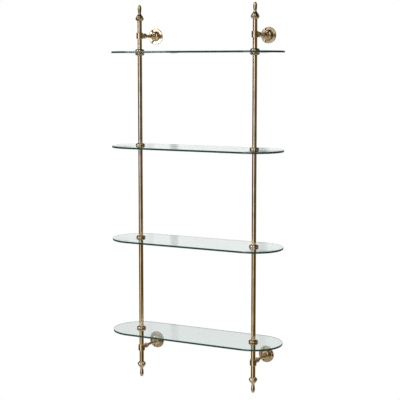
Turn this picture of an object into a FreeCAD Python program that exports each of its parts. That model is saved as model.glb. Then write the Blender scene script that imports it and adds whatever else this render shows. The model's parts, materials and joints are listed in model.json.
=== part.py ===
import FreeCAD, Part
import math
import os

# A wall-hung etagere: four glass shelves on two brass posts, held off the wall by four turned arms.
# Sizes are in millimetres. The origin is the middle of the lower left rose's back, on the wall.
# +X runs to the right along the wall, +Y goes into the wall and +Z is up, so the front faces -Y.

# Layout
post_spacing = 406.4
stand_off = 108.0  # from the axis of the posts to the wall
shelf_pitch = 304.8
bottom_shelf_rise = 63.5  # from the lower arms up to the middle of the bottom shelf
upper_arm_rise = 53.0  # from the middle of the top shelf up to the upper arms
top_tube_reach = 100.0  # from the middle of the top shelf up to the end of the tube
bottom_tube_reach = 111.5  # from the middle of the bottom shelf down to the end of the tube

# Clearances, those of round pieces on the radius
socket_clearance = 0.1  # tubes in collars and tees
thread_clearance = 0.05  # studs, arms and nuts
braze_clearance = 0.05  # plugs in tubes
glass_clearance = 0.15  # bushes in the holes of the glass
spigot_clearance = 0.05  # the end of an arm's spigot to the tube that it bears on
cut_overrun = 1.0  # how far every cut passes the face that it opens

# How far a rounded edge bends
quarter_round_share = math.tan(math.radians(90 / 4))
half_round_share = math.tan(math.radians(180 / 4))

# Glass shelves
glass_thickness = 6.0
shelf_depth = 185.0
shelf_arris = 0.6  # the ground-off edge of the glass

# Tubes and what is brazed into their ends
tube_diameter = 14.3
tube_wall = 1.25
plug_length = 12.0

# Studs through the shelves, and the thread that they share with the finials
stud_diameter = 6.35
stud_grip = 10.0  # how deep a shelf stud goes into each plug
thread_pitch = 1.27
finial_thread_turns = 6
finial_stud_depth = 12.0  # how deep a finial's stud goes into the finial

# Bushes and washers at the glass
bush_wall = 1.1
washer_diameter = 25.0
washer_thickness = 0.5

# Half-ball collars
collar_diameter = 30.5
collar_rim_height = 1.1  # the upright band beside the glass
collar_dome_height = 5.9
collar_lip = 1.3  # the wall round the tube at the collar's mouth
collar_socket_depth = 5.0

# Finials, from the seat on the tube's end to the tip
finial_seat_lip = 0.9
finial_bead_diameter = 27.2
finial_bead_rise = 7.8  # from the seat to the widest place of the bead
finial_bead_fall = 3.6  # from there to the groove
finial_groove_height = 0.8
finial_groove_diameter = 21.4
finial_bell_diameter = 23.0
finial_bell_height = 13.2
finial_neck_diameter = 9.4
finial_bulb_diameter = 12.4
finial_bulb_height = 13.8
finial_shoulder_height = 7.5
finial_tip_height = 4.5
bead_rise_bulge_share = 0.24
bead_fall_bulge_share = 0.42
bell_turn_height_share = 0.42  # where the bell changes from round to hollow
bell_turn_width_share = 0.52
bell_round_bulge_share = 0.16
bell_hollow_bulge_share = -0.2
bulb_bulge_share = 0.05
shoulder_width_share = 0.8
shoulder_bulge_share = 0.1

# Tee sleeves
tee_diameter = 21.5
tee_height = 20.0
tee_edge_round = 1.2
boss_diameter = 14.0
boss_reach = 24.0  # from the axis of the post to the end of the boss

# Arms
arm_thread_diameter = 8.0
arm_foot_diameter = 12.4
arm_foot_length = 2.6
arm_bead_diameter = 17.2
arm_bead_length = 10.5
arm_fillet_diameter = 11.0
arm_neck_diameter = 9.2
arm_flare_diameter = 12.8
arm_ring_diameter = 16.0
arm_ring_length = 4.6
arm_heel_length = 1.4
waist_hollow_share = 0.22
waist_flare_share = 0.36
waist_hollow_bulge_share = -0.2
waist_flare_bulge_share = -0.22

# Roses, from the wall towards the post
rose_diameter = 52.0
rose_plate_height = 3.0
rose_rim_width = 1.6
rose_edge_round = 0.8
rose_base_diameter = 34.0
rose_base_height = 3.4
rose_base_step = 0.9
rose_dome_height = 8.0
rose_waist_diameter = 18.0
rose_cove_height = 5.0
rose_throat_diameter = 14.6
rose_ring_diameter = 19.0
rose_ring_height = 4.6
rose_hub_height = 5.0
rose_cavity_diameter = 23.0
rose_cavity_depth = 8.5
rose_hole_diameter = 4.6
rose_hole_circle = 41.4
rose_hole_count = 3
rose_base_bulge_share = 0.36
rose_dome_bulge_share = 0.34
rose_cove_bulge_share = -0.25

# Nuts in the backs of the roses
nut_across_flats = 13.0
nut_height = 5.0
nut_thread_showing = 1.0
nut_sides = 6

# Sizes that follow from the others
tube_radius = tube_diameter / 2
stud_radius = stud_diameter / 2
arm_thread_radius = arm_thread_diameter / 2
tube_bore_radius = tube_radius - tube_wall
plug_radius = tube_bore_radius - braze_clearance
bush_bore_radius = stud_radius + thread_clearance
bush_radius = bush_bore_radius + bush_wall
glass_hole_radius = bush_radius + glass_clearance
collar_height = collar_rim_height + collar_dome_height
collar_floor = collar_height - collar_socket_depth
glass_seat = glass_thickness / 2 + washer_thickness  # from a shelf's middle to its collars
tube_seat = glass_seat + collar_floor  # from a shelf's middle to the ends of its tubes
finial_thread_reach = finial_thread_turns * thread_pitch
rose_height = (
    rose_plate_height + rose_base_height + rose_dome_height
    + rose_cove_height + rose_ring_height + rose_hub_height
)
rose_face = stand_off - rose_height  # from the axis of the post to the front of the rose

post_x = {"left": 0.0, "right": post_spacing}
post_y = -stand_off
shelf_names = ["bottom_shelf", "lower_middle_shelf", "upper_middle_shelf", "top_shelf"]
shelf_z = {name: bottom_shelf_rise + i * shelf_pitch for i, name in enumerate(shelf_names)}
arm_z = {"lower": 0.0, "upper": shelf_z["top_shelf"] + upper_arm_rise}
post_end_z = {
    "lower": shelf_z["bottom_shelf"] - bottom_tube_reach,
    "upper": shelf_z["top_shelf"] + top_tube_reach,
}

X_AXIS = FreeCAD.Vector(1, 0, 0)
Z_AXIS = FreeCAD.Vector(0, 0, 1)
ORIGIN = FreeCAD.Vector(0, 0, 0)


def arc_middle(start, end, bulge):
    """The middle of the arc between two points. A bulge of 1 is a half circle on the right of the way."""
    across = end[0] - start[0]
    along = end[1] - start[1]
    return (start[0] + end[0] + bulge * along) / 2, (start[1] + end[1] - bulge * across) / 2


def turned(outline):
    """A solid turned about Z from (radius, height) points. A third number bends the run to the next point."""
    edges = []
    for here, there in zip(outline, outline[1:] + outline[:1]):
        start = FreeCAD.Vector(here[0], 0, here[1])
        end = FreeCAD.Vector(there[0], 0, there[1])
        if len(here) == 3:
            middle = arc_middle(here, there, here[2])
            edges.append(Part.Arc(start, FreeCAD.Vector(middle[0], 0, middle[1]), end).toShape())
        else:
            edges.append(Part.LineSegment(start, end).toShape())
    return Part.Face(Part.Wire(edges)).revolve(ORIGIN, Z_AXIS, 360)


def rod(radius, low, high):
    """A plain cylinder about Z between two heights."""
    return Part.makeCylinder(radius, high - low, FreeCAD.Vector(0, 0, low))


def sleeve(radius, bore_radius, low, high):
    """A plain tube about Z between two heights."""
    return rod(radius, low, high).cut(rod(bore_radius, low - cut_overrun, high + cut_overrun))


def upside_down(shape):
    """The same shape turned over about X."""
    turned_over = shape.copy()
    turned_over.rotate(ORIGIN, X_AXIS, 180)
    return turned_over


def on_post(shape, side, height):
    """A shape about Z, moved to a post at a height."""
    placed = shape.copy()
    placed.translate(FreeCAD.Vector(post_x[side], post_y, height))
    return placed


def to_wall(shape, side, height):
    """A shape about Z, laid so that its +Z runs from the axis of a post to the wall."""
    placed = shape.copy()
    placed.rotate(ORIGIN, X_AXIS, -90)
    return on_post(placed, side, height)


def shelf():
    """A sheet of glass with half-round ends about the posts, its edges ground, with two holes for studs."""
    radius = shelf_depth / 2
    left = post_x["left"]
    right = post_x["right"]
    low = -glass_thickness / 2
    corners = [
        FreeCAD.Vector(left, -radius, low),
        FreeCAD.Vector(right, -radius, low),
        FreeCAD.Vector(right, radius, low),
        FreeCAD.Vector(left, radius, low),
    ]
    right_end = Part.Arc(corners[1], FreeCAD.Vector(right + radius, 0, low), corners[2])
    left_end = Part.Arc(corners[3], FreeCAD.Vector(left - radius, 0, low), corners[0])
    front = Part.LineSegment(corners[0], corners[1])
    back = Part.LineSegment(corners[2], corners[3])
    outline = Part.Wire([run.toShape() for run in (front, right_end, back, left_end)])
    sheet = Part.Face(outline).extrude(FreeCAD.Vector(0, 0, glass_thickness))
    level = [edge for edge in sheet.Edges if edge.BoundBox.ZLength < glass_thickness / 2]
    sheet = sheet.makeChamfer(shelf_arris, level)
    for x in (left, right):
        hole = rod(glass_hole_radius, low - cut_overrun, -low + cut_overrun)
        hole.translate(FreeCAD.Vector(x, 0, 0))
        sheet = sheet.cut(hole)
    return sheet


def collar():
    """Half of a ball: flat beside the glass, with a socket for the tube's end and a hole for the stud."""
    radius = collar_diameter / 2
    mouth_radius = tube_radius + socket_clearance + collar_lip
    dome_bulge = math.tan(math.atan2(collar_dome_height, radius - mouth_radius) / 2)  # ends square to the axis
    ball = turned([
        (0, 0),
        (radius, 0),
        (radius, collar_rim_height, dome_bulge),
        (mouth_radius, collar_height),
        (0, collar_height),
    ])
    socket = rod(tube_radius + socket_clearance, collar_floor, collar_height + cut_overrun)
    stud_hole = rod(stud_radius + thread_clearance, -cut_overrun, collar_height)
    return ball.cut(socket).cut(stud_hole)


def finial():
    """A turned knob: a bead on the tube's end, a bell over it and a long bulb, bored for its stud."""
    seat_radius = tube_radius + finial_seat_lip
    bead_radius = finial_bead_diameter / 2
    groove_radius = finial_groove_diameter / 2
    bell_radius = finial_bell_diameter / 2
    neck_radius = finial_neck_diameter / 2
    bulb_radius = finial_bulb_diameter / 2
    turn_radius = neck_radius + bell_turn_width_share * (bell_radius - neck_radius)
    groove_z = finial_bead_rise + finial_bead_fall
    bell_z = groove_z + finial_groove_height
    turn_z = bell_z + bell_turn_height_share * finial_bell_height
    neck_z = bell_z + finial_bell_height
    bulb_z = neck_z + finial_bulb_height
    shoulder_z = bulb_z + finial_shoulder_height
    tip_z = shoulder_z + finial_tip_height
    shoulder_radius = bulb_radius * shoulder_width_share
    tip_bulge = math.tan(math.atan2(finial_tip_height, shoulder_radius) / 2)  # ends square to the axis
    knob = turned([
        (0, 0),
        (seat_radius, 0, bead_rise_bulge_share),
        (bead_radius, finial_bead_rise, bead_fall_bulge_share),
        (groove_radius, groove_z),
        (groove_radius, bell_z),
        (bell_radius, bell_z, bell_round_bulge_share),
        (turn_radius, turn_z, bell_hollow_bulge_share),
        (neck_radius, neck_z, bulb_bulge_share),
        (bulb_radius, bulb_z, shoulder_bulge_share),
        (shoulder_radius, shoulder_z, tip_bulge),
        (0, tip_z),
    ])
    return knob.cut(rod(stud_radius + thread_clearance, -cut_overrun, finial_stud_depth))


def tee():
    """A sleeve round the tube, with a boss towards the wall that takes the arm's thread."""
    radius = tee_diameter / 2
    half_height = tee_height / 2
    boss_radius = boss_diameter / 2
    edge = tee_edge_round
    body = turned([
        (0, -half_height),
        (radius - edge, -half_height, quarter_round_share),
        (radius, edge - half_height),
        (radius, half_height - edge, quarter_round_share),
        (radius - edge, half_height),
        (0, half_height),
    ])
    boss = turned([
        (0, 0),
        (boss_radius, 0),
        (boss_radius, boss_reach - edge, quarter_round_share),
        (boss_radius - edge, boss_reach),
        (0, boss_reach),
    ])
    boss.rotate(ORIGIN, X_AXIS, -90)
    tube_hole = rod(tube_radius + socket_clearance, -tee_height, tee_height)
    arm_hole = rod(arm_thread_radius + thread_clearance, 0, boss_reach + cut_overrun)
    arm_hole.rotate(ORIGIN, X_AXIS, -90)
    return body.fuse(boss).cut(tube_hole).cut(arm_hole).removeSplitter()


def arm():
    """A turned spindle with a threaded spigot at each end, its heights counted from the axis of the post."""
    foot_radius = arm_foot_diameter / 2
    fillet_radius = arm_fillet_diameter / 2
    neck_radius = arm_neck_diameter / 2
    flare_radius = arm_flare_diameter / 2
    bead_z = boss_reach + arm_foot_length
    waist_z = bead_z + arm_bead_length
    heel_z = rose_face - arm_heel_length
    ring_z = heel_z - arm_ring_length
    waist = ring_z - waist_z
    bead_bulge = (arm_bead_diameter - arm_foot_diameter) / arm_bead_length
    ring_bulge = (arm_ring_diameter - arm_flare_diameter) / arm_ring_length
    nut_face = stand_off - rose_cavity_depth
    return turned([
        (0, tube_radius + spigot_clearance),
        (arm_thread_radius, tube_radius + spigot_clearance),
        (arm_thread_radius, boss_reach),
        (foot_radius, boss_reach),
        (foot_radius, bead_z, bead_bulge),
        (foot_radius, waist_z),
        (fillet_radius, waist_z, waist_hollow_bulge_share),
        (neck_radius, waist_z + waist * waist_hollow_share),
        (neck_radius, ring_z - waist * waist_flare_share, waist_flare_bulge_share),
        (flare_radius, ring_z, ring_bulge),
        (flare_radius, heel_z),
        (flare_radius, rose_face),
        (arm_thread_radius, rose_face),
        (arm_thread_radius, nut_face + nut_height + nut_thread_showing),
        (0, nut_face + nut_height + nut_thread_showing),
    ])


def rose():
    """A turned wall plate with a stepped dome, hollow at the back, its heights counted from the wall."""
    radius = rose_diameter / 2
    rim_radius = radius - rose_rim_width
    base_radius = rose_base_diameter / 2
    dome_radius = base_radius - rose_base_step
    waist_radius = rose_waist_diameter / 2
    throat_radius = rose_throat_diameter / 2
    edge = rose_edge_round
    base_z = rose_plate_height + rose_base_height
    waist_z = base_z + rose_dome_height
    throat_z = waist_z + rose_cove_height
    hub_z = throat_z + rose_ring_height
    ring_bulge = (rose_ring_diameter - rose_throat_diameter) / rose_ring_height
    plate = turned([
        (0, 0),
        (radius - edge, 0, quarter_round_share),
        (radius, edge),
        (radius, rose_plate_height, half_round_share),
        (rim_radius, rose_plate_height),
        (base_radius, rose_plate_height, rose_base_bulge_share),
        (dome_radius, base_z, rose_dome_bulge_share),
        (waist_radius, waist_z, rose_cove_bulge_share),
        (throat_radius, throat_z, ring_bulge),
        (throat_radius, hub_z),
        (throat_radius, rose_height),
        (0, rose_height),
    ])
    cavity = rod(rose_cavity_diameter / 2, -cut_overrun, rose_cavity_depth)
    arm_hole = rod(arm_thread_radius + thread_clearance, 0, rose_height + cut_overrun)
    plate = plate.cut(cavity).cut(arm_hole)
    for i in range(rose_hole_count):
        angle = 2 * math.pi * i / rose_hole_count
        hole = rod(rose_hole_diameter / 2, -cut_overrun, rose_plate_height + cut_overrun)
        across = rose_hole_circle / 2 * math.cos(angle)
        along = rose_hole_circle / 2 * math.sin(angle)
        hole.translate(FreeCAD.Vector(across, along, 0))
        plate = plate.cut(hole)
    plate = upside_down(plate)
    plate.translate(FreeCAD.Vector(0, 0, stand_off))
    return plate


def nut():
    """A hexagon nut that lies in the hollow of a rose, its heights counted from the axis of the post."""
    face = stand_off - rose_cavity_depth
    corner_radius = nut_across_flats / 2 / math.cos(math.pi / nut_sides)
    corners = []
    for i in range(nut_sides + 1):
        angle = 2 * math.pi * i / nut_sides
        corners.append(FreeCAD.Vector(
            corner_radius * math.cos(angle), corner_radius * math.sin(angle), face))
    block = Part.Face(Part.makePolygon(corners)).extrude(FreeCAD.Vector(0, 0, nut_height))
    bore = rod(arm_thread_radius + thread_clearance, face - cut_overrun, face + nut_height + cut_overrun)
    return block.cut(bore)


nodes = {}

# Shelves, and at each shelf the collars, washers, bush and stud of each post
glass = shelf()
ball_half = collar()
washer = sleeve(washer_diameter / 2, bush_bore_radius, 0, washer_thickness)
bush = sleeve(bush_radius, bush_bore_radius, -glass_thickness / 2, glass_thickness / 2)
shelf_stud = rod(stud_radius, -tube_seat - stud_grip, tube_seat + stud_grip)
washers = []
bushes = []
shelf_studs = []
for name in shelf_names:
    middle = shelf_z[name]
    sheet = glass.copy()
    sheet.translate(FreeCAD.Vector(0, post_y, middle))
    nodes[name] = sheet
    for side in post_x:
        nodes[f"{name}_{side}_upper_collar"] = on_post(ball_half, side, middle + glass_seat)
        nodes[f"{name}_{side}_lower_collar"] = on_post(upside_down(ball_half), side, middle - glass_seat)
        washers.append(on_post(washer, side, middle + glass_thickness / 2))
        washers.append(on_post(washer, side, middle - glass_seat))
        bushes.append(on_post(bush, side, middle))
        shelf_studs.append(on_post(shelf_stud, side, middle))
nodes["glass_washers"] = Part.makeCompound(washers)
nodes["glass_bushes"] = Part.makeCompound(bushes)
nodes["shelf_studs"] = Part.makeCompound(shelf_studs)

# Five lengths of tube to a post, each with a plug in both ends
tube_names = ["bottom", "lower", "middle", "upper", "top"]
tube_starts = [post_end_z["lower"]] + [shelf_z[name] + tube_seat for name in shelf_names]
tube_stops = [shelf_z[name] - tube_seat for name in shelf_names] + [post_end_z["upper"]]
plug = sleeve(plug_radius, stud_radius + thread_clearance, 0, plug_length)
plugs = []
for side in post_x:
    for name, start, stop in zip(tube_names, tube_starts, tube_stops):
        tube = sleeve(tube_radius, tube_bore_radius, 0, stop - start)
        nodes[f"{name}_{side}_tube"] = on_post(tube, side, start)
        plugs.append(on_post(plug, side, start))
        plugs.append(on_post(plug, side, stop - plug_length))
nodes["tube_plugs"] = Part.makeCompound(plugs)

# Finials with their studs, and the tees, arms and roses that hold the posts to the wall
knob = finial()
knob_stud = rod(stud_radius, -finial_thread_reach, finial_stud_depth)
sleeve_tee = tee()
spindle = arm()
wall_rose = rose()
lock_nut = nut()
nuts = []
for level in arm_z:
    for side in post_x:
        end_knob = knob if level == "upper" else upside_down(knob)
        end_stud = knob_stud if level == "upper" else upside_down(knob_stud)
        nodes[f"{level}_{side}_finial"] = on_post(end_knob, side, post_end_z[level])
        nodes[f"{level}_{side}_finial_stud"] = on_post(end_stud, side, post_end_z[level])
        nodes[f"{level}_{side}_tee"] = on_post(sleeve_tee, side, arm_z[level])
        nodes[f"{level}_{side}_arm"] = to_wall(spindle, side, arm_z[level])
        nodes[f"{level}_{side}_rose"] = to_wall(wall_rose, side, arm_z[level])
        nuts.append(to_wall(lock_nut, side, arm_z[level]))
nodes["arm_nuts"] = Part.makeCompound(nuts)

os.makedirs("parts", exist_ok=True)
for name, shape in nodes.items():
    shape.exportStep(f"parts/{name}.step")
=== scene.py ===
"""A wall-hung etagere: clear glass shelves on posts of antique brass.

Sizes are in metres, in the part's own frame.
"""
import json
import math

import bmesh
import bpy
from mathutils import Matrix, Vector

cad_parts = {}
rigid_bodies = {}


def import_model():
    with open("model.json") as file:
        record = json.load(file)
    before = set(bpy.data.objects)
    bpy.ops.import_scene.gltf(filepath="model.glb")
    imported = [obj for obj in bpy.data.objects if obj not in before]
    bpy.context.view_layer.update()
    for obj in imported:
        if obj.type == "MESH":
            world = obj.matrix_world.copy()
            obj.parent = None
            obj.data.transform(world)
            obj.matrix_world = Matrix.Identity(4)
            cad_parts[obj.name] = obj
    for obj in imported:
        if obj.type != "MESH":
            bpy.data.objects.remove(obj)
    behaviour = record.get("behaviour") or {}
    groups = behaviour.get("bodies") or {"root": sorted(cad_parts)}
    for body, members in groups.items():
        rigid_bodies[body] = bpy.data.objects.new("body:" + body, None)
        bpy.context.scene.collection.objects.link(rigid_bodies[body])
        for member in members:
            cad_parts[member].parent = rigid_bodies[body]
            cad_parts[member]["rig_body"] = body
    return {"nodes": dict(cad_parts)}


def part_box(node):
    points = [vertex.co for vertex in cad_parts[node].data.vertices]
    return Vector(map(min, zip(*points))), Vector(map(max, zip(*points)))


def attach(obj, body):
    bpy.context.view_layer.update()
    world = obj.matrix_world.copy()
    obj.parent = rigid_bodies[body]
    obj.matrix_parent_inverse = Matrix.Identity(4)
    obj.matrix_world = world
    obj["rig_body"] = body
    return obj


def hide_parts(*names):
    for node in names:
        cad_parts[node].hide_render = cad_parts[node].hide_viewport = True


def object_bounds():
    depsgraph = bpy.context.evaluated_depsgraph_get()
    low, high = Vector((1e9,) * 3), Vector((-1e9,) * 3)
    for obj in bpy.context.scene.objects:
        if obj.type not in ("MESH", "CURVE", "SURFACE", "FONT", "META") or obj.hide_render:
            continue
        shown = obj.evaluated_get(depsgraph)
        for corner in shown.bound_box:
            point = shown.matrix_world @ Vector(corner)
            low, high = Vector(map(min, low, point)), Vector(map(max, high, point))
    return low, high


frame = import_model()
cad_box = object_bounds()

MM = 0.001
LEVELS = ("lower", "upper")
SIDES = ("left", "right")
SHELVES = ("bottom_shelf", "lower_middle_shelf", "upper_middle_shelf", "top_shelf")
TUBES = ("bottom", "lower", "middle", "upper", "top")

# The view of the photograph, which is 400 pixels square
VIEW_AZIMUTH = math.radians(26.6)
VIEW_PITCH = math.radians(6.41)
VIEW_DISTANCE = 3.397
VIEW_LENS = 95.8  # millimetres
VIEW_SENSOR = 36  # millimetres
VIEW_SHIFT = -0.04  # of the sensor's width
AIM_ASIDE = 14.7 * MM  # from the middle between the posts
AIM_HEIGHT = 559.8 * MM  # over the lower arms

# How finely round shapes are drawn
ARC_STEP = math.radians(7)
ARC_RUN = 0.45 * MM
ARC_FEWEST_STEPS = 4
TURN_STEPS = 96
HOLE_STEPS = 32
CORNER_ROUND = 0.16 * MM  # the softened corners of turned brass
CORNER_SEGMENTS = 3
CORNER_ANGLE = math.radians(18)  # corners that turn less than this stay as they are
BEVEL_PROFILE = 0.5  # a plain round
SAME_PLACE = 0.002 * MM  # corners closer than this become one
SAME_HEIGHT = 0.01 * MM  # corners this close to a height count as at it
FLATS_BY_AREA = 50  # each face has a say in the shading by its area
FLATS_BY_BROADEST = 100  # broad faces settle the shading alone

# Outlines of turned shapes. Each line is (share of the radius, share of the height), and a third
# number bends the run to the next point: the tangent of a quarter of the arc's angle.
FINIAL_SHARES = [
    (0.591, 0.000, 0.24),  # the seat on the tube, and the bead's rise
    (0.998, 0.1523, 0.42),  # the bead's widest place
    (0.785, 0.2227),  # the groove
    (0.785, 0.2383),
    (0.844, 0.2383, 0.16),  # the foot of the bell
    (0.604, 0.3466, -0.20),
    (0.345, 0.4961, 0.05),  # the neck
    (0.455, 0.7656, 0.10),  # the bulb's widest place
    (0.364, 0.9121, 0.386),
    (0.000, 1.000),  # the tip
]
STUD_BORE_SHARE = 0.2366  # of a finial's radius
STUD_DEPTH_SHARE = 0.2344  # of a finial's height
BORED_FINIAL_SHARES = [
    (0.000, STUD_DEPTH_SHARE),
    (STUD_BORE_SHARE, STUD_DEPTH_SHARE),
    (STUD_BORE_SHARE, 0.000),
    *FINIAL_SHARES,
]
ARM_SHARES = [
    (0.000, 0.000),
    (0.465, 0.000),  # the spigot in the tee
    (0.465, 0.1709),
    (0.721, 0.1709),  # the foot
    (0.721, 0.1974, 0.457),  # the bead
    (0.721, 0.3042),
    (0.640, 0.3042, -0.20),
    (0.535, 0.3845),  # the neck
    (0.535, 0.5379, -0.22),
    (0.744, 0.6694, 0.696),  # the ring before the rose
    (0.744, 0.7162),
    (0.744, 0.7304),
    (0.465, 0.7304),  # the spigot in the rose
    (0.465, 1.000),
    (0.000, 1.000),
]
ROSE_SHARES = [
    (0.442, 0.000),  # the mouth of the hollow back
    (0.969, 0.000, 0.414),
    (1.000, 0.0276),
    (1.000, 0.10345, 1.0),  # the half-round rim
    (0.938, 0.10345),
    (0.654, 0.10345, 0.36),  # the step under the dome
    (0.619, 0.2207, 0.34),  # the dome
    (0.346, 0.4966, -0.25),  # the cove
    (0.281, 0.669, 0.957),  # the ring
    (0.281, 0.8276),
    (0.281, 1.000),  # the hub
    (0.156, 1.000),
    (0.156, 0.293),
    (0.442, 0.293),
]
COLLAR_SHARES = [
    (0.2115, 0.000),
    (1.000, 0.000),  # the flat beside the glass
    (1.000, 0.1571, 0.3775),  # the half ball
    (0.5607, 1.000),
    (0.4754, 1.000),  # the mouth round the tube
    (0.4754, 0.2857),
    (0.2115, 0.2857),
]

# Sizes that the boxes of the pieces don't give
TUBE_WALL = 1.25 * MM
ROSE_HOLES = 3  # the first of them on the right
ROSE_HOLE_RADIUS = 2.3 * MM
ROSE_HOLE_CIRCLE = 20.7 * MM  # the radius on which the holes lie
ROSE_HOLE_CHAMFER = 0.35 * MM
ROSE_PLATE = 3 * MM
GLASS_HOLE_RADIUS = 4.475 * MM
GLASS_ARRIS = 0.6 * MM
GLASS_ARRIS_SEGMENTS = 2
GLASS_ARRIS_ANGLE = math.radians(60)  # corners that turn less than this get no arris
GLASS_SKIN = 0.02 * MM  # the film of air between the glass and the washers
THREAD_PITCH = 1.27 * MM
THREAD_DEPTH = 0.62 * MM
THREAD_STEEPNESS = 1.3  # of its flanks, beside a plain zigzag
THREAD_FLAT = 0.15  # the share of the depth that is levelled at the crests and the roots
THREAD_STEPS = 40
THREAD_RINGS = 10  # to a turn
NUT_WIDTH = 13 * MM  # across the flats
NUT_CHAMFER_SHARE = 0.18  # of a nut's height
NUT_BORE_SHARE = 0.54  # of its half width across the flats
NUT_SIDE = math.pi / 3  # the angle that one side takes up

# Which way a shape drawn upwards is turned
UPWARDS = Matrix.Identity(4)
DOWNWARDS = Matrix.Rotation(math.pi, 4, "X")
TO_THE_WALL = Matrix.Rotation(-math.pi / 2, 4, "X")
FROM_THE_WALL = Matrix.Rotation(math.pi / 2, 4, "X")

# Brass: its patterns, how far they show, and its colours
PATINA_CLOUD = 35 * MM
PATINA_SPECK = 1.4 * MM
SPECK_SHARE = 0.15
SPECK_RELIEF = 0.4  # beside the relief of the lines
# The brown film is real patina in grooves, and through ambient occlusion it is also painted shade
# where pieces meet
FILM_AND_SHADE_REACH = 3 * MM  # how far from walls, also those of other pieces, the brown film and painted shade reach
HOLLOW_DEEP = 0.2  # how open a groove or a gap beside another piece is that gets all of the film and painted shade
HOLLOW_OPEN = 0.55  # and one that keeps none
FILM_AND_SHADE_SHARE = 0.85
FILM_DULLNESS = 0.16
RUBBED_BLUNT = 0.52  # how sharp an edge is where rubbing begins to show
RUBBED_SHARP = 0.6  # and where it shows in full
RUBBED_SHARE = 0.6
LINE_SPACING = 0.35 * MM  # coarser than the real 0.1 mm, so that turning and drawing lines show
LINE_LENGTH = 25 * MM
DRAWN_LINES = (1 / LINE_SPACING, 1 / LINE_SPACING, 1 / LINE_LENGTH)
UPRIGHT_LINES = (1 / LINE_LENGTH, 1 / LINE_LENGTH, 1 / LINE_SPACING)
LEVEL_LINES = (1 / LINE_LENGTH, 1 / LINE_SPACING, 1 / LINE_LENGTH)
BRASS_RUBBED = "#ccb390"
BRASS_BROWNED = "#ad926c"
BRASS_BRIGHT = "#e2cda8"
# the brown of the film in grooves, which also paints shade where pieces meet
BRASS_FILM_AND_SHADE = "#3b2a17"

# The other finishes
GLASS_SMEAR = 70 * MM
GLASS_GRAIN = 0.5 * MM
GLASS_TINT = (0.02, 0.34, 0.24, 1)
GLASS_DENSITY = 22.0
GLASS_EDGE_GREEN = (0.016, 0.11, 0.076, 1)
GLASS_EDGE_CLEARNESS = 0.2
GLASS_EDGE_ROUGHNESS = 0.03
VINYL_PEEL = 0.8 * MM
VINYL_CLEAR = "#f3f1e4"
NYLON_MOTTLE = 1.5 * MM
NYLON_MILKY = "#e4dfce"
NYLON_PALE = "#f2efe4"
ZINC_DRIFT = 4 * MM
ZINC_GRAIN = 0.25 * MM
ZINC_STRAW = "#a99f7c"
ZINC_PINK = "#c3b6a0"
PAINT_STIPPLE = 3 * MM
PAINT_WHITE = "#f4f4f2"
PLASTER_SAND = 0.6 * MM
# nearly black colours that paint the shade of the wall behind the screw holes
SHADE_PAINT_DEEP = "#0d0a07"
SHADE_PAINT_DIM = "#1d1712"
WHITE = "#ffffff"

# Sockets of a Mix node that share their names, by number
FACTOR = 0
NUMBER_A = 2
NUMBER_B = 3
COLOUR_A = 6
COLOUR_B = 7
MIXED_NUMBER = 0
MIXED_COLOUR = 2

# The floor and the painted shade behind the screw holes
FLOOR_HEIGHT = -0.75
FLOOR_RADIUS = 1.8
FLOOR_FULL = 0.3 * FLOOR_RADIUS  # as far as this the floor is whole
FLOOR_GONE = 0.98 * FLOOR_RADIUS  # and here it has faded out
FLOOR_GLOW = 0.42
SHADE_GAP = 0.2 * MM  # from the backs of the roses to the discs of painted shade

# The light that brass and glass reflect, as bands of (place, light), and a third number where the
# light is warm, or cool below 0. Here the places are degrees to the right of the camera.
ROUND_REACH = (-180, 180)
ROUND_THE_ROOM = [
    (-180, 0.95), (-178, 1.0), (-176.5, 1.0), (-172, 0.5, 0.1), (-158, 0.16, 0.1), (-112, 0.13),
    (-61, 0.13), (-58.5, 0.06), (-50.4, 0.06), (-49, 1.3, -0.8), (-45, 2.2, -0.85),
    (-27, 2.2, -0.85), (-18, 1.1, -0.6), (-9, 0.4, 0.2), (2, 0.2, 0.8), (20, 0.16, 0.95),
    (104, 0.17, 0.95), (122, 0.3, 0.5), (158, 0.36, 0.3), (172, 0.5, 0.1), (175, 0.95),
    (180, 0.95)]
# The same over the object, where two softboxes hang
ROUND_ABOVE = [
    (-180, 0.95), (-178, 1.0), (-176.5, 1.0), (-172, 0.5, 0.1), (-158, 0.16, 0.1),
    (-100, 0.08, 0.3), (-84, 0.06, 0.3), (-79, 4.5, -0.6), (-56, 4.5, -0.6), (-51, 0.09, 0.4),
    (-20, 0.09, 0.4), (-15, 3.2, -0.3), (3, 3.2, -0.3), (8, 0.09, 0.8), (60, 0.14, 0.8),
    (110, 0.2, 0.6), (158, 0.36, 0.3), (172, 0.5, 0.1), (175, 0.95), (180, 0.95)]
# Narrow dark stands behind the object, in degrees round from the camera
STANDS_REACH = (175, 185)
STANDS = [
    (176.2, 1.0), (176.5, 0.55), (176.7, 0.55), (177.0, 1.0), (181.1, 1.0), (181.3, 0.5),
    (181.5, 0.5), (181.7, 1.0), (182.4, 1.0), (182.7, 0.75), (183.0, 1.0)]
# How the light changes with height, in shares of straight up
UP_REACH = (-0.45, 1.0)
UP_THE_ROOM = [
    (-0.45, 0.6, 0.6), (-0.28, 0.85, 0.8), (-0.22, 0.75, 0.8), (-0.17, 0.75, 0.7),
    (-0.11, 0.92, 0.3), (-0.04, 1.0), (0.09, 1.0), (0.15, 0.9), (0.18, 0.9), (0.24, 0.53),
    (0.27, 0.55), (0.31, 0.95), (0.55, 0.95), (0.72, 0.3, 0.2), (1.0, 0.1, 0.3)]
# Heights at which the light over the object and the light from the floor begin, and are alone
ABOVE_LIGHT_BEGINS = 0.08
ABOVE_LIGHT_ALONE = 0.2
FLOOR_LIGHT_BEGINS = -0.25
FLOOR_LIGHT_ALONE = -0.45
FLOOR_LIGHT = (0.28, 0.24, 0.155, 1)
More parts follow.
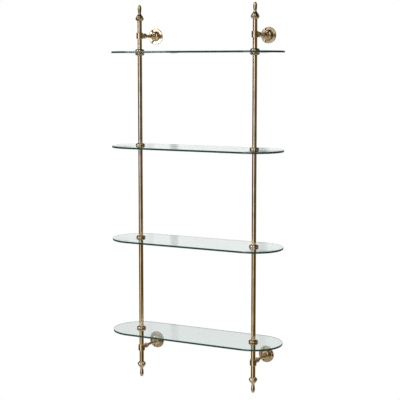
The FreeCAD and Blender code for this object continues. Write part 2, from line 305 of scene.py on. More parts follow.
# A strobe on the left, with its weak reflection in the studio's floor
STROBE_ROUND_REACH = (-60, -53)
STROBE_ROUND = [(-58.3, 0.0), (-57.9, 1.0, -0.3), (-55.3, 1.0, -0.3), (-54.9, 0.0)]
STROBE_UP_REACH = (-0.3, 0.1)
STROBE_UP = [
    (-0.268, 0.0), (-0.262, 0.075), (-0.246, 0.075), (-0.240, 0.0), (0.003, 0.0), (0.006, 1.0),
    (0.019, 1.0), (0.022, 0.45), (0.036, 0.45), (0.044, 0.0)]
STROBE_LIGHT = 16.0
WARM_LESS_GREEN = 0.12  # what full warmth takes from green
WARM_LESS_BLUE = 0.45  # and from blue


def middle(node):
    """The middle of a node's box."""
    low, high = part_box(node)
    return (low + high) / 2


def extent(node):
    """The sides of a node's box."""
    low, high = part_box(node)
    return high - low


def run_of(node, turn):
    """How far a node reaches along the axis of its turn, and its radius across it."""
    size = extent(node)
    axis = turn.col[2].to_3d()
    height = abs(axis.dot(size))
    across = [side for side, share in zip(size, axis) if not round(share)]
    return height, max(across) / 2


def seat_of(node, turn):
    """Where a shape drawn upwards from the origin goes, to stand where a node does."""
    height, _ = run_of(node, turn)
    start = middle(node) - turn.col[2].to_3d() * height / 2
    return Matrix.Translation(start) @ turn


# Drawing shapes


def scaled(shares, radius, height):
    """An outline of shares as points in metres, with their bends kept."""
    return [(point[0] * radius, point[1] * height, *point[2:]) for point in shares]


def corners_among(parts):
    """The corners among the parts of a mesh."""
    return [part for part in parts if isinstance(part, bmesh.types.BMVert)]


def lies_at(part, height):
    """Whether an edge or a face lies at one height."""
    return all(abs(corner.co.z - height) < SAME_HEIGHT for corner in part.verts)


def draw_outline(bm, points, closed):
    """A wire in the XZ plane through the points of an outline. Returns its corners there."""
    first = bm.verts.new((points[0][0], 0, points[0][1]))
    last = first
    corners = [first]
    ends = points[1:] + points[:1] if closed else points[1:]
    for here, there in zip(points, ends):
        start = Vector((here[0], 0, here[1]))
        end = Vector((there[0], 0, there[1]))
        if len(here) == 3:
            run = end - start
            bend = here[2]
            angle = 4 * math.atan(bend)
            aside = Vector((run.z, 0, -run.x)) * (bend * bend - 1) / (4 * bend)
            centre = (start + end) / 2 + aside
            length = abs(angle) * (start - centre).length
            enough = min(math.ceil(abs(angle) / ARC_STEP), round(length / ARC_RUN))
            arc = bmesh.ops.spin(
                bm, geom=[last], cent=centre, axis=(0, -1, 0), angle=angle,
                steps=max(ARC_FEWEST_STEPS, enough))
            last = corners_among(arc["geom_last"])[0]
        else:
            last = bmesh.ops.extrude_vert_indiv(bm, verts=[last])["verts"][0]
        last.co = end
        corners.append(last)
    if closed:
        bmesh.ops.weld_verts(bm, targetmap={last: first})
        corners.pop()
    return corners


def soften_corners(bm, corners):
    """Small rounds on the sharp corners of an outline."""
    sharp = []
    for corner in corners:
        if len(corner.link_edges) == 2:
            ways = [edge.other_vert(corner).co - corner.co for edge in corner.link_edges]
            if math.pi - ways[0].angle(ways[1]) > CORNER_ANGLE:
                sharp.append(corner)
    bmesh.ops.bevel(
        bm, geom=sharp, offset=CORNER_ROUND, affect="VERTICES", segments=CORNER_SEGMENTS,
        profile=BEVEL_PROFILE, material=-1, clamp_overlap=True)


def turn_outline(points, closed):
    """A bmesh of an outline turned round the Z axis, as on a lathe."""
    bm = bmesh.new()
    soften_corners(bm, draw_outline(bm, points, closed))
    wire = bm.verts[:] + bm.edges[:]
    bmesh.ops.spin(
        bm, geom=wire, cent=(0, 0, 0), axis=(0, 0, 1), angle=2 * math.pi, steps=TURN_STEPS,
        use_merge=True)
    bmesh.ops.remove_doubles(bm, verts=bm.verts, dist=SAME_PLACE)
    return bm


def draw_up(bm, flat, height):
    """Makes a flat shape a solid of one height."""
    raised = corners_among(bmesh.ops.extrude_face_region(bm, geom=flat)["geom"])
    bmesh.ops.translate(bm, vec=(0, 0, height), verts=raised)


def screw_holes():
    """The centres of a rose's screw holes, from its axis."""
    angles = [2 * math.pi * hole / ROSE_HOLES for hole in range(ROSE_HOLES)]
    return [Vector((math.cos(angle), math.sin(angle), 0)) * ROSE_HOLE_CIRCLE for angle in angles]


def drill_rose(bm):
    """Screw holes with chamfered rims through the plate of a rose."""
    rims = {}
    for height in (0, ROSE_PLATE):
        flat = [face for face in bm.faces if lies_at(face, height)]
        bmesh.ops.delete(bm, geom=flat, context="FACES")
        rims[height] = [edge for edge in bm.edges if edge.is_boundary and lies_at(edge, height)]
    rim_radius = ROSE_HOLE_RADIUS + ROSE_HOLE_CHAMFER
    narrowing = ROSE_HOLE_RADIUS / rim_radius
    runs = (
        (ROSE_HOLE_CHAMFER, narrowing),
        (ROSE_PLATE - 2 * ROSE_HOLE_CHAMFER, 1),
        (ROSE_HOLE_CHAMFER, 1 / narrowing))
    for centre in screw_holes():
        circle = bmesh.ops.create_circle(
            bm, segments=HOLE_STEPS, radius=rim_radius, matrix=Matrix.Translation(centre))["verts"]
        edges = list(dict.fromkeys(edge for corner in circle for edge in corner.link_edges))
        rims[0] += edges
        for rise, scale in runs:
            wall = bmesh.ops.extrude_edge_only(bm, edges=edges)["geom"]
            corners = corners_among(wall)
            edges = [
                part for part in wall
                if isinstance(part, bmesh.types.BMEdge) and set(part.verts) <= set(corners)]
            bmesh.ops.translate(bm, vec=(0, 0, rise), verts=corners)
            bmesh.ops.scale(
                bm, vec=(scale, scale, 1), space=Matrix.Translation(-centre), verts=corners)
        rims[ROSE_PLATE] += edges
    for height, edges in rims.items():
        outwards = (0, 0, 1 if height else -1)
        bmesh.ops.triangle_fill(bm, use_beauty=True, edges=edges, normal=outwards)


# Making pieces


def make_piece(bm, name, place, finish):
    """A smooth object from a bmesh, with its place in its mesh."""
    bmesh.ops.recalc_face_normals(bm, faces=bm.faces)
    bmesh.ops.transform(bm, matrix=place, verts=bm.verts)
    for face in bm.faces:
        face.smooth = True
    mesh = bpy.data.meshes.new(name)
    bm.to_mesh(mesh)
    bm.free()
    mesh.materials.append(finish)
    piece = bpy.data.objects.new(name, mesh)
    bpy.context.scene.collection.objects.link(piece)
    return piece


def keep_flats(piece, weight=FLATS_BY_AREA):
    """Shading that stays flat on a piece's broad faces, beside its rounded corners."""
    flats = piece.modifiers.new("flats", "WEIGHTED_NORMAL")
    flats.mode = "FACE_AREA"
    flats.weight = weight
    return piece


def stand_for(piece, node):
    """The piece takes a node's place and its body."""
    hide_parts(node)
    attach(piece, frame["nodes"][node]["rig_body"])


def refinish(node, finish):
    """The node keeps its own shape and takes a finish."""
    frame["nodes"][node].material_slots[0].material = finish


def turned_piece(node, shares, turn, closed, finish):
    """A turned brass piece in the place of a node."""
    height, radius = run_of(node, turn)
    bm = turn_outline(scaled(shares, radius, height), closed)
    piece = keep_flats(make_piece(bm, "turned_" + node, seat_of(node, turn), finish))
    stand_for(piece, node)


def drawn_tube(node, finish):
    """A length of brass tube, with its ends cut square and deburred."""
    height, radius = run_of(node, UPWARDS)
    bore = radius - TUBE_WALL
    bm = turn_outline([(bore, 0), (radius, 0), (radius, height), (bore, height)], True)
    piece = keep_flats(make_piece(bm, "drawn_" + node, seat_of(node, UPWARDS), finish))
    stand_for(piece, node)


def wall_rose(node, finish):
    """A turned rose with its screw holes."""
    height, radius = run_of(node, FROM_THE_WALL)
    bm = turn_outline(scaled(ROSE_SHARES, radius, height), True)
    drill_rose(bm)
    piece = make_piece(bm, "turned_" + node, seat_of(node, FROM_THE_WALL), finish)
    keep_flats(piece, FLATS_BY_BROADEST)
    stand_for(piece, node)


def glass_shelf(node, post_places, finish):
    """A glass shelf with half-round ends, two holes and a polished arris all round."""
    low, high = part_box(node)
    depth = high.y - low.y
    half_run = (high.x - low.x - depth) / 2
    half_depth = depth / 2
    half_round = 1
    bm = bmesh.new()
    ends = [
        (-half_run, -half_depth), (half_run, -half_depth, half_round),
        (half_run, half_depth), (-half_run, half_depth, half_round)]
    draw_outline(bm, ends, True)
    lay_flat = Matrix.Rotation(math.pi / 2, 4, "X")
    bmesh.ops.transform(bm, matrix=lay_flat, verts=bm.verts)
    centre = (low + high) / 2
    for post in post_places:
        bmesh.ops.create_circle(
            bm, segments=HOLE_STEPS, radius=GLASS_HOLE_RADIUS,
            matrix=Matrix.Translation((post.x - centre.x, post.y - centre.y, 0)))
    bmesh.ops.triangle_fill(bm, use_beauty=True, edges=bm.edges[:], normal=(0, 0, 1))
    draw_up(bm, bm.faces[:] + bm.edges[:], high.z - low.z - 2 * GLASS_SKIN)
    bmesh.ops.recalc_face_normals(bm, faces=bm.faces)
    arris = [
        edge for edge in bm.edges
        if edge.is_manifold and edge.calc_face_angle() > GLASS_ARRIS_ANGLE]
    bmesh.ops.bevel(
        bm, geom=arris, offset=GLASS_ARRIS, affect="EDGES", segments=GLASS_ARRIS_SEGMENTS,
        profile=BEVEL_PROFILE, material=-1, clamp_overlap=True)
    place = Matrix.Translation((centre.x, centre.y, low.z + GLASS_SKIN))
    piece = keep_flats(make_piece(bm, "glass_" + node, place, finish), FLATS_BY_BROADEST)
    stand_for(piece, node)


def threaded_stud(node, turn, finish):
    """A finial's stud with its thread cut in it and its ends pointed."""
    height, radius = run_of(node, turn)
    bm = bmesh.new()
    bmesh.ops.create_circle(bm, cap_ends=True, segments=THREAD_STEPS, radius=radius)
    draw_up(bm, bm.faces[:], height)
    upright = [edge for edge in bm.edges if not lies_at(edge, 0) and not lies_at(edge, height)]
    rings = round(height / THREAD_PITCH * THREAD_RINGS)
    bmesh.ops.subdivide_edges(bm, edges=upright, cuts=rings, use_grid_fill=True)
    for corner in bm.verts:
        turns = corner.co.z / THREAD_PITCH - math.atan2(corner.co.y, corner.co.x) / (2 * math.pi)
        zigzag = abs(2 * (turns % 1) - 1)
        cut = THREAD_DEPTH * min(1, max(0, THREAD_STEEPNESS * zigzag - THREAD_FLAT))
        point = max(0, THREAD_PITCH - corner.co.z, THREAD_PITCH - height + corner.co.z)
        corner.co.xy *= 1 - max(cut, min(point, THREAD_DEPTH)) / radius
    piece = make_piece(bm, "threaded_" + node, seat_of(node, turn), finish)
    stand_for(piece, node)


def arm_nuts(node, arms, finish):
    """The nuts in the hollow backs of the roses, with chamfered corners, as one piece."""
    low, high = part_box(node)
    height = high.y - low.y
    half_width = NUT_WIDTH / 2
    corner_radius = half_width / math.cos(NUT_SIDE / 2)
    chamfer = NUT_CHAMFER_SHARE * height
    bore = NUT_BORE_SHARE * half_width
    outline = [
        (bore, chamfer), (bore + chamfer, 0), (half_width, 0), (corner_radius, chamfer),
        (corner_radius, height - chamfer), (half_width, height), (bore + chamfer, height),
        (bore, height - chamfer)]
    every = bmesh.new()
    for arm in arms:
        bm = turn_outline(outline, True)
        for corner in bm.verts:
            angle = math.atan2(corner.co.y, corner.co.x) % NUT_SIDE - NUT_SIDE / 2
            flat = half_width / math.cos(angle)
            corner.co.xy *= min(1, flat / corner.co.xy.length)
        place = Matrix.Translation((middle(arm).x, low.y, middle(arm).z)) @ TO_THE_WALL
        bmesh.ops.transform(bm, matrix=place, verts=bm.verts)
        nut = bpy.data.meshes.new("nut")
        bm.to_mesh(nut)
        bm.free()
        every.from_mesh(nut)
        bpy.data.meshes.remove(nut)
    piece = keep_flats(make_piece(every, "chamfered_" + node, UPWARDS, finish))
    stand_for(piece, node)


# Materials


def linear(code):
    """A hex colour as linear red, green, blue and alpha, by the sRGB curve."""
    shares = [int(code[place:place + 2], 16) / 255 for place in (1, 3, 5)]
    return [c / 12.92 if c <= 0.04045 else ((c + 0.055) / 1.055) ** 2.4 for c in shares] + [1]


def add(tree, kind, inputs=None, **settings):
    """A node of that kind, with its settings, and its inputs set or linked."""
    node = tree.nodes.new(kind)
    for name, value in settings.items():
        setattr(node, name, value)
    for name, value in (inputs or {}).items():
        if isinstance(value, bpy.types.NodeSocket):
            tree.links.new(value, node.inputs[name])
        else:
            node.inputs[name].default_value = value
    return node


def start_material(name):
    """An empty material, its node tree and the Object coordinates."""
    material = bpy.data.materials.new(name)
    material.use_nodes = True
    tree = material.node_tree
    tree.nodes.clear()
    return material, tree, add(tree, "ShaderNodeTexCoord").outputs["Object"]


def antique_brass(name, line_scales):
    """Brass that is drawn or turned, browned with acid, rubbed back by hand and lacquered.

    A brown film stays in the grooves, and by ambient occlusion the same brown also paints shade
    where other pieces come close; raised edges are rubbed nearly bright, fine lines run along
    drawn tubes and round turned pieces, and the lacquer is clear.
    """
    material, tree, coordinates = start_material(name)
    clouds = add(tree, "ShaderNodeTexNoise", {
        "Vector": coordinates, "Scale": 1 / PATINA_CLOUD, "Detail": 3.0, "Roughness": 0.55})
    specks = add(tree, "ShaderNodeTexNoise", {
        "Vector": coordinates, "Scale": 1 / PATINA_SPECK, "Detail": 2.0, "Roughness": 0.6})
    stretch = add(tree, "ShaderNodeMapping", {"Vector": coordinates, "Scale": line_scales})
    lines = add(tree, "ShaderNodeTexNoise", {
        "Vector": stretch.outputs["Vector"], "Scale": 1.0, "Detail": 2.0, "Roughness": 0.5})

    # Painted shade together with real film: ambient occlusion, also from other pieces, darkens the
    # colour towards the brown film
    occlusion_shade = add(tree, "ShaderNodeAmbientOcclusion", {"Distance": FILM_AND_SHADE_REACH}, samples=8)
    hollow = add(tree, "ShaderNodeMapRange", {
        "Value": occlusion_shade.outputs["AO"], "From Min": HOLLOW_DEEP, "From Max": HOLLOW_OPEN,
        "To Min": FILM_AND_SHADE_SHARE, "To Max": 0.0})
    shape = add(tree, "ShaderNodeNewGeometry")
    rubbed = add(tree, "ShaderNodeMapRange", {
        "Value": shape.outputs["Pointiness"], "From Min": RUBBED_BLUNT, "From Max": RUBBED_SHARP,
        "To Min": 0.0, "To Max": RUBBED_SHARE})

    cloud_share = add(tree, "ShaderNodeMapRange", {
        "Value": clouds.outputs["Fac"], "From Min": 0.35, "From Max": 0.65,
        "To Min": 0.0, "To Max": 1.0})
    body = add(tree, "ShaderNodeMix", {
        FACTOR: cloud_share.outputs["Result"], COLOUR_A: linear(BRASS_BROWNED),
        COLOUR_B: linear(BRASS_RUBBED)}, data_type="RGBA")
    speck_share = add(tree, "ShaderNodeMapRange", {
        "Value": specks.outputs["Fac"], "From Min": 0.55, "From Max": 0.75,
        "To Min": 0.0, "To Max": SPECK_SHARE})
    specked = add(tree, "ShaderNodeMix", {
        FACTOR: speck_share.outputs["Result"], COLOUR_A: body.outputs[MIXED_COLOUR],
        COLOUR_B: linear(BRASS_BROWNED)}, data_type="RGBA")
    # the brown film in grooves, and painted shade where pieces come close
    filmed_and_shaded = add(tree, "ShaderNodeMix", {
        FACTOR: hollow.outputs["Result"], COLOUR_A: specked.outputs[MIXED_COLOUR],
        COLOUR_B: linear(BRASS_FILM_AND_SHADE)}, data_type="RGBA")
    edged = add(tree, "ShaderNodeMix", {
        FACTOR: rubbed.outputs["Result"], COLOUR_A: filmed_and_shaded.outputs[MIXED_COLOUR],
        COLOUR_B: linear(BRASS_BRIGHT)}, data_type="RGBA")

    sheen = add(tree, "ShaderNodeMapRange", {
        "Value": lines.outputs["Fac"], "From Min": 0.3, "From Max": 0.7,
        "To Min": 0.08, "To Max": 0.14})
    dulled = add(tree, "ShaderNodeMath", {
        0: hollow.outputs["Result"], 1: FILM_DULLNESS, 2: sheen.outputs["Result"]},
        operation="MULTIPLY_ADD")
    relief = add(tree, "ShaderNodeMath", {
        0: specks.outputs["Fac"], 1: SPECK_RELIEF, 2: lines.outputs["Fac"]},
        operation="MULTIPLY_ADD")
    bump = add(tree, "ShaderNodeBump", {
        "Height": relief.outputs["Value"], "Strength": 0.05, "Distance": 0.02 * MM})
    shader = add(tree, "ShaderNodeBsdfPrincipled", {
        "Base Color": edged.outputs[MIXED_COLOUR], "Metallic": 1.0,
        "Roughness": dulled.outputs["Value"], "Coat Weight": 0.2, "Coat Roughness": 0.08,
        "Normal": bump.outputs["Normal"]})
    add(tree, "ShaderNodeOutputMaterial", {"Surface": shader.outputs["BSDF"]})
    return material


def float_glass():
    """Float glass with flat ground edges: clear through its faces and sea green through its length.

    The faces have faint wiping marks. The edges are polished only half clear, and their fine grain
    scatters the green of the depth.
    """
    material, tree, coordinates = start_material("float_glass")
    smears = add(tree, "ShaderNodeTexNoise", {
        "Vector": coordinates, "Scale": 1 / GLASS_SMEAR, "Detail": 4.0, "Distortion": 0.8})
    smear_roughness = add(tree, "ShaderNodeMapRange", {
        "Value": smears.outputs["Fac"], "From Min": 0.5, "From Max": 0.75,
        "To Min": 0.0, "To Max": 0.004})
    grain = add(tree, "ShaderNodeTexNoise", {
        "Vector": coordinates, "Scale": 1 / GLASS_GRAIN, "Detail": 2.0})
    shape = add(tree, "ShaderNodeNewGeometry")
    ways = add(tree, "ShaderNodeSeparateXYZ", {"Vector": shape.outputs["Normal"]})
    upright = add(tree, "ShaderNodeMath", {0: ways.outputs["Z"]}, operation="ABSOLUTE")
    edge = add(tree, "ShaderNodeMapRange", {
        "Value": upright.outputs["Value"], "From Min": 0.5, "From Max": 0.95,
        "To Min": 1.0, "To Max": 0.0})
    roughness = add(tree, "ShaderNodeMix", {
        FACTOR: edge.outputs["Result"], NUMBER_A: smear_roughness.outputs["Result"],
        NUMBER_B: GLASS_EDGE_ROUGHNESS}, data_type="FLOAT")
    colour = add(tree, "ShaderNodeMix", {
        FACTOR: edge.outputs["Result"], COLOUR_A: linear(WHITE), COLOUR_B: GLASS_EDGE_GREEN},
        data_type="RGBA")
    clearness = add(tree, "ShaderNodeMapRange", {
        "Value": edge.outputs["Result"], "To Min": 1.0, "To Max": GLASS_EDGE_CLEARNESS})
    relief = add(tree, "ShaderNodeMath", {
        0: edge.outputs["Result"], 1: grain.outputs["Fac"]}, operation="MULTIPLY")
    bump = add(tree, "ShaderNodeBump", {
        "Height": relief.outputs["Value"], "Strength": 0.05, "Distance": 0.02 * MM})
    shader = add(tree, "ShaderNodeBsdfPrincipled", {
        "Base Color": colour.outputs[MIXED_COLOUR], "Roughness": roughness.outputs[MIXED_NUMBER],
        "IOR": 1.52, "Transmission Weight": clearness.outputs["Result"],
        "Normal": bump.outputs["Normal"]})
    tint = add(tree, "ShaderNodeVolumeAbsorption", {"Color": GLASS_TINT, "Density": GLASS_DENSITY})
    add(tree, "ShaderNodeOutputMaterial", {
        "Surface": shader.outputs["BSDF"], "Volume": tint.outputs["Volume"]})
    return material


def pressed_vinyl():
    """Clear PVC sheet, die-cut: soft, a little hazy and yellow, with a faint orange peel."""
    material, tree, coordinates = start_material("clear_vinyl")
    peel = add(tree, "ShaderNodeTexNoise", {
        "Vector": coordinates, "Scale": 1 / VINYL_PEEL, "Detail": 1.0})
    haze = add(tree, "ShaderNodeMapRange", {
        "Value": peel.outputs["Fac"], "From Min": 0.3, "From Max": 0.7,
        "To Min": 0.15, "To Max": 0.3})
    bump = add(tree, "ShaderNodeBump", {
        "Height": peel.outputs["Fac"], "Strength": 0.15, "Distance": 0.03 * MM})
    shader = add(tree, "ShaderNodeBsdfPrincipled", {
        "Base Color": linear(VINYL_CLEAR), "Roughness": haze.outputs["Result"], "IOR": 1.54,
        "Transmission Weight": 0.85, "Normal": bump.outputs["Normal"]})
    add(tree, "ShaderNodeOutputMaterial", {"Surface": shader.outputs["BSDF"]})
    return material


def moulded_nylon():
    """Nylon moulded in its natural colour: milky white, with a dull, slightly mottled skin."""
    material, tree, coordinates = start_material("moulded_nylon")
    mottle = add(tree, "ShaderNodeTexNoise", {
        "Vector": coordinates, "Scale": 1 / NYLON_MOTTLE, "Detail": 2.0})
    colour = add(tree, "ShaderNodeMix", {
        FACTOR: mottle.outputs["Fac"], COLOUR_A: linear(NYLON_MILKY),
        COLOUR_B: linear(NYLON_PALE)}, data_type="RGBA")
    dullness = add(tree, "ShaderNodeMapRange", {
        "Value": mottle.outputs["Fac"], "To Min": 0.35, "To Max": 0.55})
    shader = add(tree, "ShaderNodeBsdfPrincipled", {
        "Base Color": colour.outputs[MIXED_COLOUR], "Roughness": dullness.outputs["Result"],
        "IOR": 1.53, "Subsurface Weight": 0.3, "Subsurface Scale": 1 * MM})
    add(tree, "ShaderNodeOutputMaterial", {"Surface": shader.outputs["BSDF"]})
    return material


def zinc_plate():
    """Steel plated with zinc and passivated yellow.

    Grey metal shows under a thin film that drifts from straw to a faint pink, a little dull.
    """
    material, tree, coordinates = start_material("zinc_plated_steel")
    drift = add(tree, "ShaderNodeTexNoise", {
        "Vector": coordinates, "Scale": 1 / ZINC_DRIFT, "Detail": 3.0})
    film = add(tree, "ShaderNodeMix", {
        FACTOR: drift.outputs["Fac"], COLOUR_A: linear(ZINC_STRAW), COLOUR_B: linear(ZINC_PINK)},
        data_type="RGBA")
    crystal = add(tree, "ShaderNodeTexNoise", {
        "Vector": coordinates, "Scale": 1 / ZINC_GRAIN, "Detail": 2.0})
    dullness = add(tree, "ShaderNodeMapRange", {
        "Value": crystal.outputs["Fac"], "To Min": 0.25, "To Max": 0.45})
    bump = add(tree, "ShaderNodeBump", {
        "Height": crystal.outputs["Fac"], "Strength": 0.1, "Distance": 0.02 * MM})
    shader = add(tree, "ShaderNodeBsdfPrincipled", {
        "Base Color": film.outputs[MIXED_COLOUR], "Metallic": 1.0,
        "Roughness": dullness.outputs["Result"], "Normal": bump.outputs["Normal"]})
    add(tree, "ShaderNodeOutputMaterial", {"Surface": shader.outputs["BSDF"]})
    return material


def painted_floor(centre):
    """Floor board in matt white paint, which fades out into the white round it."""
    material, tree, coordinates = start_material("painted_floor")
    roller = add(tree, "ShaderNodeTexNoise", {
        "Vector": coordinates, "Scale": 1 / PAINT_STIPPLE, "Detail": 2.0})
    bump = add(tree, "ShaderNodeBump", {
        "Height": roller.outputs["Fac"], "Strength": 0.1, "Distance": 0.2 * MM})
    away = add(tree, "ShaderNodeVectorMath", {0: coordinates, 1: centre}, operation="DISTANCE")
    fade = add(tree, "ShaderNodeMapRange", {
        "Value": away.outputs["Value"], "From Min": FLOOR_FULL, "From Max": FLOOR_GONE,
        "To Min": 1.0, "To Max": 0.0}, interpolation_type="SMOOTHSTEP")
    shader = add(tree, "ShaderNodeBsdfPrincipled", {
        "Base Color": linear(PAINT_WHITE), "Roughness": 0.8, "Alpha": fade.outputs["Result"],
        "Emission Color": linear(WHITE), "Emission Strength": FLOOR_GLOW,
        "Normal": bump.outputs["Normal"]})
    add(tree, "ShaderNodeOutputMaterial", {"Surface": shader.outputs["BSDF"]})
    return material


def painted_shade_plaster():
    """Painted shade: plaster nearly black, as a wall in deep shade, with its fine grain just
    showing.
    """
    material, tree, coordinates = start_material("painted_shade_plaster")
    sand = add(tree, "ShaderNodeTexNoise", {
        "Vector": coordinates, "Scale": 1 / PLASTER_SAND, "Detail": 2.0})
    colour = add(tree, "ShaderNodeMix", {
        FACTOR: sand.outputs["Fac"], COLOUR_A: linear(SHADE_PAINT_DEEP),
        COLOUR_B: linear(SHADE_PAINT_DIM)}, data_type="RGBA")
    shader = add(tree, "ShaderNodeBsdfPrincipled", {
        "Base Color": colour.outputs[MIXED_COLOUR], "Roughness": 0.95, "Specular IOR Level": 0.1})
    add(tree, "ShaderNodeOutputMaterial", {"Surface": shader.outputs["BSDF"]})
    return material


# The studio


def place_camera():
    """The camera of the photograph."""
    lens = bpy.data.cameras.new("photo_view")
    lens.sensor_width = VIEW_SENSOR
    lens.lens = VIEW_LENS
    lens.shift_y = VIEW_SHIFT
    camera = bpy.data.objects.new("photo_view", lens)
    bpy.context.scene.collection.objects.link(camera)
    level = math.cos(VIEW_PITCH)
    back = Vector((
        math.sin(VIEW_AZIMUTH) * level, -math.cos(VIEW_AZIMUTH) * level, math.sin(VIEW_PITCH)))
    posts = (middle("bottom_left_tube") + middle("bottom_right_tube")) / 2
    aim = Vector((posts.x + AIM_ASIDE, posts.y, AIM_HEIGHT))
    turn = back.to_track_quat("Z", "Y").to_matrix().to_4x4()
    camera.matrix_world = Matrix.Translation(aim + back * VIEW_DISTANCE) @ turn
    bpy.context.scene.camera = camera


def bands_of_light(tree, value, reach, bands):
    """The light at a value within its reach, from bands of (place, light, and warmth if any)."""
    low, high = reach
    share = add(tree, "ShaderNodeMapRange", {"Value": value, "From Min": low, "From Max": high})
    ramp = add(tree, "ShaderNodeValToRGB", {"Fac": share.outputs["Result"]})
    elements = ramp.color_ramp.elements
    while len(elements) < len(bands):
        elements.new(0.5)  # anywhere, because its place is set next
    for element, (place, light, *warmth) in zip(elements, bands):
        warm = sum(warmth)
        element.position = (place - low) / (high - low)
        element.color = (
            light, light * (1 - WARM_LESS_GREEN * warm), light * (1 - WARM_LESS_BLUE * warm), 1)
    return ramp.outputs["Color"]


def reflected_light(tree):
    """The softboxes, flags, stands, strobe and floor round the object, as reflections show them."""
    direction = add(tree, "ShaderNodeTexCoord").outputs["Generated"]
    aside = (math.cos(VIEW_AZIMUTH), math.sin(VIEW_AZIMUTH), 0)
    ahead = (math.sin(VIEW_AZIMUTH), -math.cos(VIEW_AZIMUTH), 0)
    across = add(tree, "ShaderNodeVectorMath", {0: direction, 1: aside}, operation="DOT_PRODUCT")
    along = add(tree, "ShaderNodeVectorMath", {0: direction, 1: ahead}, operation="DOT_PRODUCT")
    angle = add(tree, "ShaderNodeMath", {
        0: across.outputs["Value"], 1: along.outputs["Value"]}, operation="ARCTAN2")
    degrees = add(tree, "ShaderNodeMath", {0: angle.outputs["Value"]}, operation="DEGREES")
    turn = degrees.outputs["Value"]
    full_turn = add(tree, "ShaderNodeMath", {0: turn, 1: 360.0, 2: 0.0}, operation="WRAP")
    rise = add(tree, "ShaderNodeSeparateXYZ", {"Vector": direction}).outputs["Z"]

    above = add(tree, "ShaderNodeMapRange", {
        "Value": rise, "From Min": ABOVE_LIGHT_BEGINS, "From Max": ABOVE_LIGHT_ALONE})
    around = add(tree, "ShaderNodeMix", {
        FACTOR: above.outputs["Result"],
        COLOUR_A: bands_of_light(tree, turn, ROUND_REACH, ROUND_THE_ROOM),
        COLOUR_B: bands_of_light(tree, turn, ROUND_REACH, ROUND_ABOVE)}, data_type="RGBA")
    walls = add(tree, "ShaderNodeMix", {
        FACTOR: 1.0, COLOUR_A: around.outputs[MIXED_COLOUR],
        COLOUR_B: bands_of_light(tree, rise, UP_REACH, UP_THE_ROOM)},
        data_type="RGBA", blend_type="MULTIPLY")
    darkened = add(tree, "ShaderNodeMix", {
        FACTOR: 1.0, COLOUR_A: walls.outputs[MIXED_COLOUR],
        COLOUR_B: bands_of_light(tree, full_turn.outputs["Value"], STANDS_REACH, STANDS)},
        data_type="RGBA", blend_type="MULTIPLY")

    strobe = add(tree, "ShaderNodeMix", {
        FACTOR: 1.0, COLOUR_A: bands_of_light(tree, turn, STROBE_ROUND_REACH, STROBE_ROUND),
        COLOUR_B: bands_of_light(tree, rise, STROBE_UP_REACH, STROBE_UP)},
        data_type="RGBA", blend_type="MULTIPLY")
    flash = add(tree, "ShaderNodeVectorMath", {
        0: strobe.outputs[MIXED_COLOUR], "Scale": STROBE_LIGHT}, operation="SCALE")
    flashed = add(tree, "ShaderNodeVectorMath", {
        0: darkened.outputs[MIXED_COLOUR], 1: flash.outputs["Vector"]}, operation="ADD")

    downwards = add(tree, "ShaderNodeMapRange", {
        "Value": rise, "From Min": FLOOR_LIGHT_ALONE, "From Max": FLOOR_LIGHT_BEGINS,
        "To Min": 1.0, "To Max": 0.0}, interpolation_type="SMOOTHSTEP")
    room = add(tree, "ShaderNodeMix", {
        FACTOR: downwards.outputs["Result"], COLOUR_A: flashed.outputs["Vector"],
        COLOUR_B: FLOOR_LIGHT}, data_type="RGBA")
    return room.outputs[MIXED_COLOUR]


def light_studio():
    """White where the room is seen, also through the glass, and lamps where it is reflected."""
    world = bpy.data.worlds.new("studio")
    bpy.context.scene.world = world
    world.use_nodes = True
    tree = world.node_tree
    tree.nodes.clear()
    path = add(tree, "ShaderNodeLightPath")
    seen = add(tree, "ShaderNodeMath", {
        0: path.outputs["Is Camera Ray"], 1: path.outputs["Is Transmission Ray"]},
        operation="MAXIMUM")
    light = add(tree, "ShaderNodeMix", {
        FACTOR: seen.outputs["Value"], COLOUR_A: reflected_light(tree), COLOUR_B: linear(WHITE)},
        data_type="RGBA")
    background = add(tree, "ShaderNodeBackground", {"Color": light.outputs[MIXED_COLOUR]})
    add(tree, "ShaderNodeOutputWorld", {"Surface": background.outputs["Background"]})
    bpy.context.scene.view_settings.view_transform = "Standard"


def lay_floor():
    """A pale round of floor well under the object."""
    low, high = cad_box
    centre = Vector(((low[0] + high[0]) / 2, (low[1] + high[1]) / 2, FLOOR_HEIGHT))
    bm = bmesh.new()
    bmesh.ops.create_circle(
        bm, cap_ends=True, cap_tris=True, segments=TURN_STEPS, radius=FLOOR_RADIUS,
        matrix=Matrix.Translation(centre))
    floor = make_piece(bm, "floor", UPWARDS, painted_floor(centre))


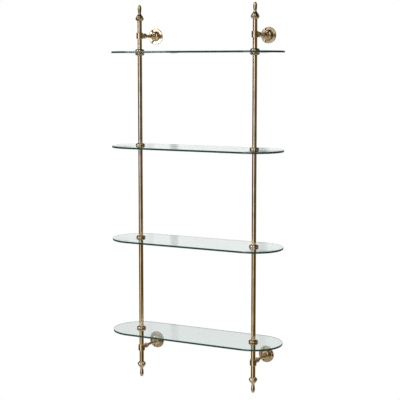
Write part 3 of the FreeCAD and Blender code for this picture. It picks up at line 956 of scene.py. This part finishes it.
def shade_screw_holes(roses):
    """Discs of painted shade behind the screw holes: the wall in shade as it shows through them,
    no part of the object.
    """
    bm = bmesh.new()
    behind = Vector((0, 0, -SHADE_GAP))
    for rose in roses:
        for centre in screw_holes():
            place = seat_of(rose, FROM_THE_WALL) @ Matrix.Translation(centre + behind)
            bmesh.ops.create_circle(
                bm, cap_ends=True, segments=HOLE_STEPS,
                radius=ROSE_HOLE_RADIUS + ROSE_HOLE_CHAMFER, matrix=place)
    shade = make_piece(bm, "painted_shade_wall", UPWARDS, painted_shade_plaster())


# The etagere

drawn_brass = antique_brass("antique_brass_drawn", DRAWN_LINES)
upright_brass = antique_brass("antique_brass_turned_upright", UPRIGHT_LINES)
level_brass = antique_brass("antique_brass_turned_to_the_wall", LEVEL_LINES)
glass = float_glass()
zinc = zinc_plate()

for side in SIDES:
    for length in TUBES:
        drawn_tube(f"{length}_{side}_tube", drawn_brass)
    for level in LEVELS:
        post_end = f"{level}_{side}_"
        outwards = UPWARDS if level == "upper" else DOWNWARDS
        turned_piece(post_end + "finial", BORED_FINIAL_SHARES, outwards, False, upright_brass)
        threaded_stud(post_end + "finial_stud", outwards, zinc)
        turned_piece(post_end + "arm", ARM_SHARES, TO_THE_WALL, False, level_brass)
        wall_rose(post_end + "rose", level_brass)
        refinish(post_end + "tee", upright_brass)
    for shelf in SHELVES:
        turned_piece(f"{shelf}_{side}_upper_collar", COLLAR_SHARES, UPWARDS, True, upright_brass)
        turned_piece(f"{shelf}_{side}_lower_collar", COLLAR_SHARES, DOWNWARDS, True, upright_brass)
posts = [middle(f"bottom_{side}_tube") for side in SIDES]
for shelf in SHELVES:
    glass_shelf(shelf, posts, glass)
arm_nuts("arm_nuts", [f"{level}_{side}_arm" for level in LEVELS for side in SIDES], zinc)
refinish("glass_washers", pressed_vinyl())
refinish("glass_bushes", moulded_nylon())
refinish("shelf_studs", zinc)
refinish("tube_plugs", drawn_brass)

place_camera()
light_studio()
lay_floor()
shade_screw_holes([f"{level}_{side}_rose" for level in LEVELS for side in SIDES])
